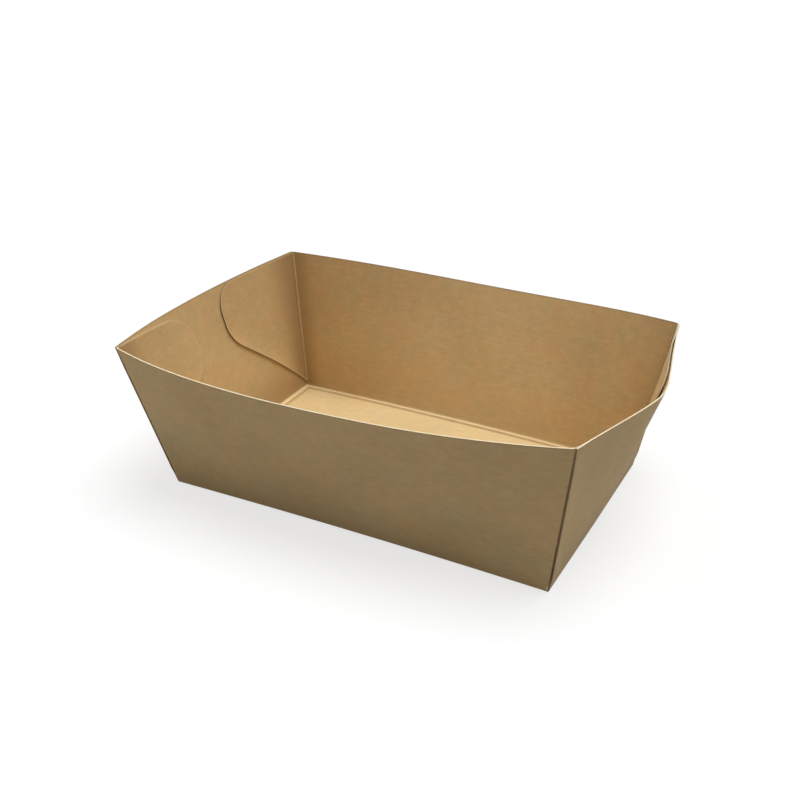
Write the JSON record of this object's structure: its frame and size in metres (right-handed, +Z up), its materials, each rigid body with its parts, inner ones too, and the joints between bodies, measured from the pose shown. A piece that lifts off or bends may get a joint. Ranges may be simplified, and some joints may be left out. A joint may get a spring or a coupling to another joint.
{
  "type": "folded kraft paperboard food tray",
  "caption": "Open kraft paperboard food bowl: a rectangular tray folded from one sheet, with flared, bowed walls and rounded corner flaps glued inside the end walls.",
  "frame": {"origin": "centre of the overall box, on the plane that the base rests on", "axes": "+X along the long walls, +Y from the front wall to the back wall, +Z up out of the open rim"},
  "size_m": [0.189, 0.1372, 0.06],
  "materials": {
    "kraft_board": "matte unbleached kraft paperboard"
  },
  "bodies": {
    "root": {"bowl": "kraft_board"}
  },
  "joints": []
}
